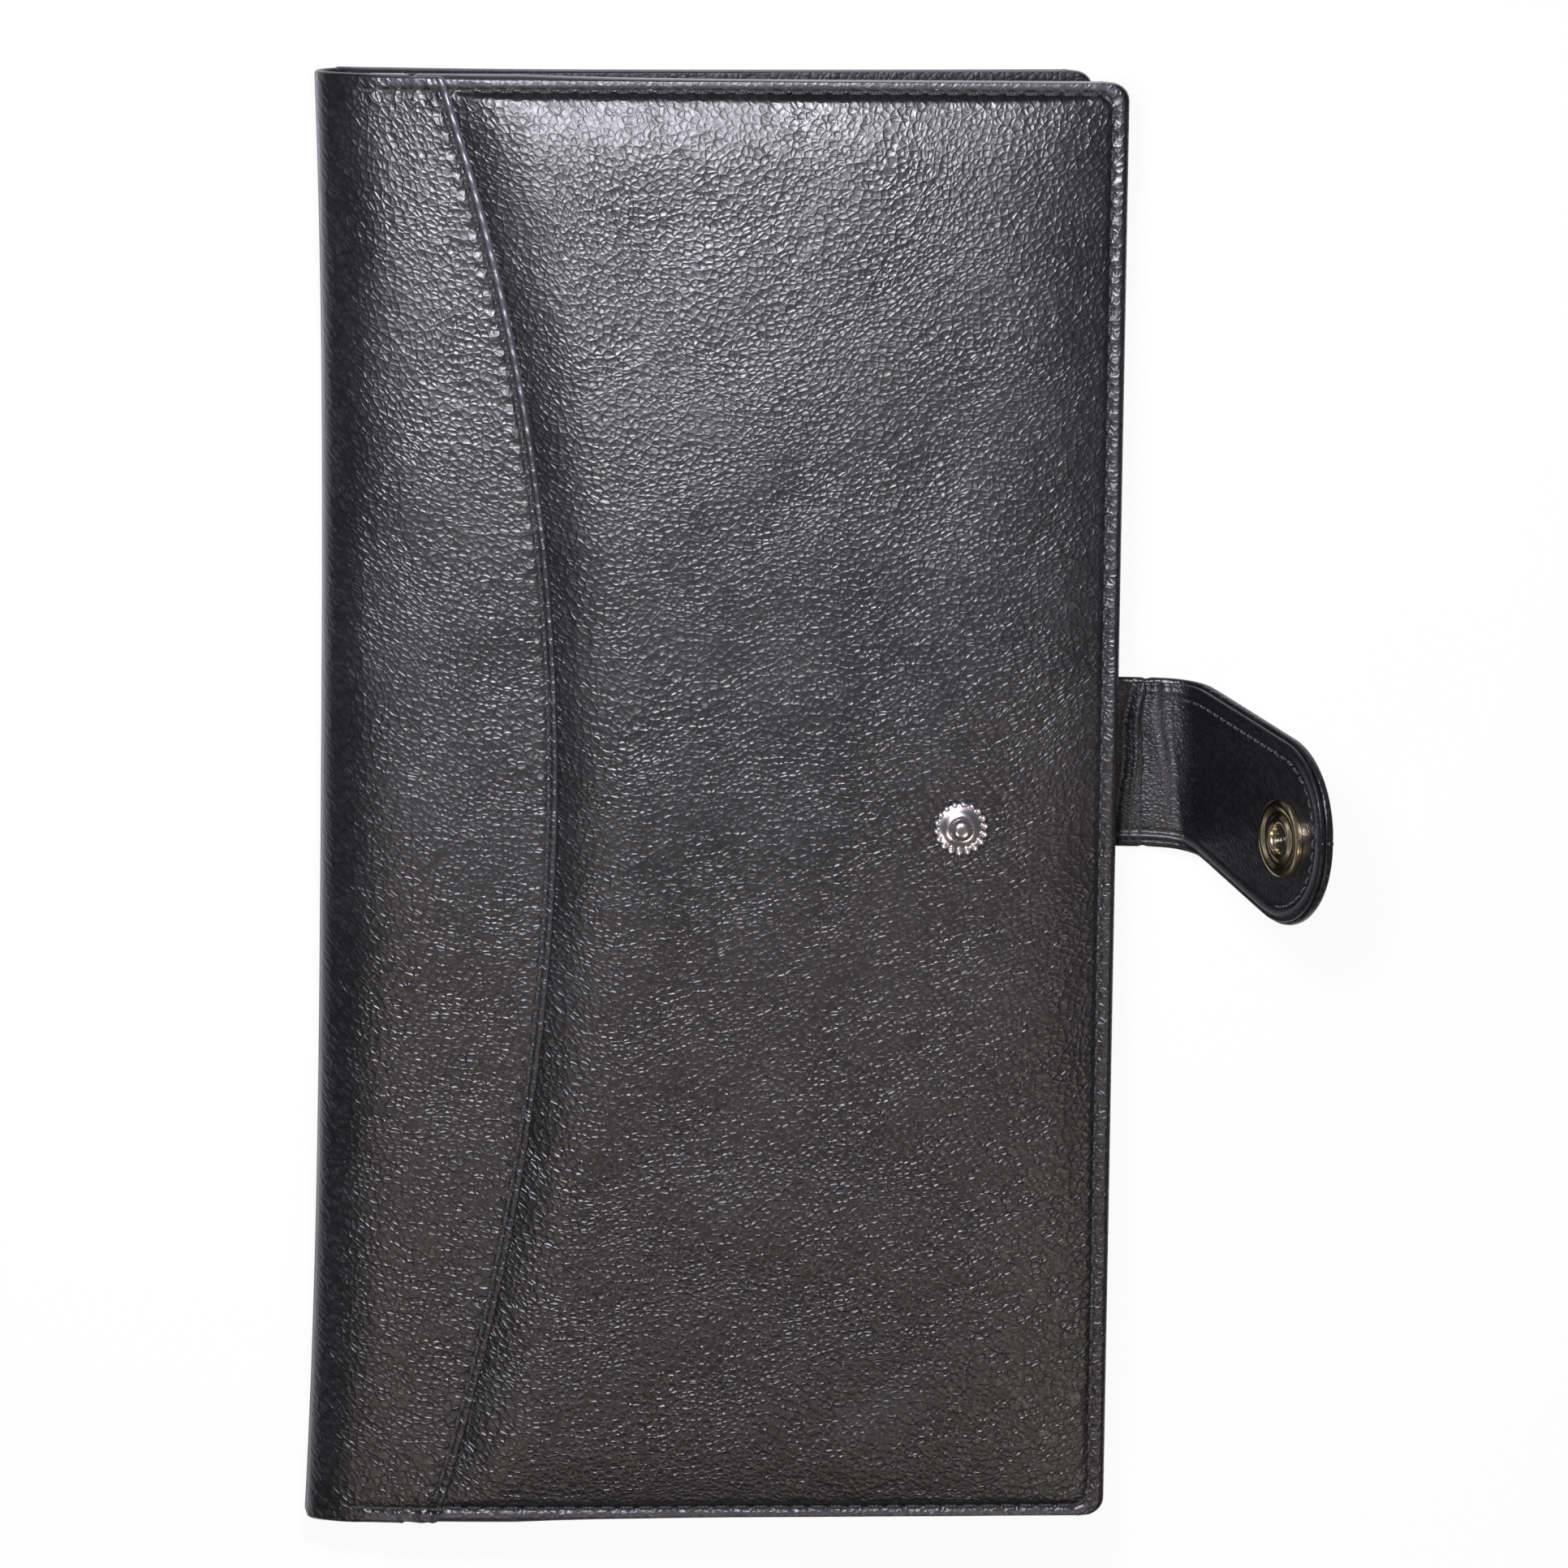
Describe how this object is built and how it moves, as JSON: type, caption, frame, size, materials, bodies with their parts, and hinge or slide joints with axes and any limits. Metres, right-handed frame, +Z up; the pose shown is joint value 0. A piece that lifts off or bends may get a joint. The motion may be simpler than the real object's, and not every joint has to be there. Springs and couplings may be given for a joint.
{
  "type": "travel document holder",
  "caption": "Leather travel wallet with a padded, lapped front cover, rolled spine, inside pockets and a snap tab standing open at the fore-edge.",
  "frame": {"origin": "middle of the back cover's resting face", "axes": "+X from the spine to the fore-edge, +Y to the top edge, +Z up out of the table through the front cover"},
  "size_m": [0.1547, 0.228, 0.0441],
  "materials": {
    "grain_leather": "black pebbled leather, semi-matt",
    "smooth_leather": "black smooth leather, satin",
    "pocket_leather": "thin black leather, satin",
    "lining_cloth": "black woven lining",
    "board": "grey bookbinding board",
    "foam": "thin sheet foam",
    "nickel": "polished nickel plate",
    "spring_steel": "drawn wire"
  },
  "bodies": {
    "back_cover": {"back_leather": "grain_leather", "back_board": "board", "back_lining": "lining_cloth", "ticket_pocket": "pocket_leather", "passport_pocket": "pocket_leather", "tab_anchor": "smooth_leather"},
    "spine": {"spine_leather": "grain_leather", "spine_lining": "lining_cloth"},
    "front_cover": {"front_spine_panel": "grain_leather", "front_panel": "grain_leather", "front_padding": "foam", "front_board": "board", "front_lining": "lining_cloth", "slip_pocket": "pocket_leather", "card_slot_1": "pocket_leather", "card_slot_2": "pocket_leather", "card_slot_3": "pocket_leather", "card_slot_4": "pocket_leather", "snap_stud": "nickel", "stud_eyelet": "nickel"},
    "tab_strap": {"strap_leather": "grain_leather", "strap_lining": "smooth_leather"},
    "tab_flap": {"flap_leather": "grain_leather", "flap_lining": "smooth_leather", "snap_socket": "nickel", "socket_spring": "spring_steel", "snap_cap": "nickel"}
  },
  "joints": [
    {"name": "spine_fold", "type": "hinge", "parent": "back_cover", "child": "spine", "pos_m": [-0.06035, 0, 0.00065], "axis": [0, -1, 0], "range_deg": [0, 90]},
    {"name": "front_fold", "type": "hinge", "parent": "spine", "child": "front_cover", "pos_m": [-0.06035, 0, 0.01135], "axis": [0, -1, 0], "range_deg": [-4, 86]},
    {"name": "strap_fold", "type": "hinge", "parent": "back_cover", "child": "tab_strap", "pos_m": [0.0629, 0, 0.0021], "axis": [0, -1, 0], "range_deg": [-8, 57.51]},
    {"name": "flap_fold", "type": "hinge", "parent": "tab_strap", "child": "tab_flap", "pos_m": [0.07841, 0, 0.00483], "axis": [0, -1, 0], "range_deg": [-60, 52.49]}
  ]
}
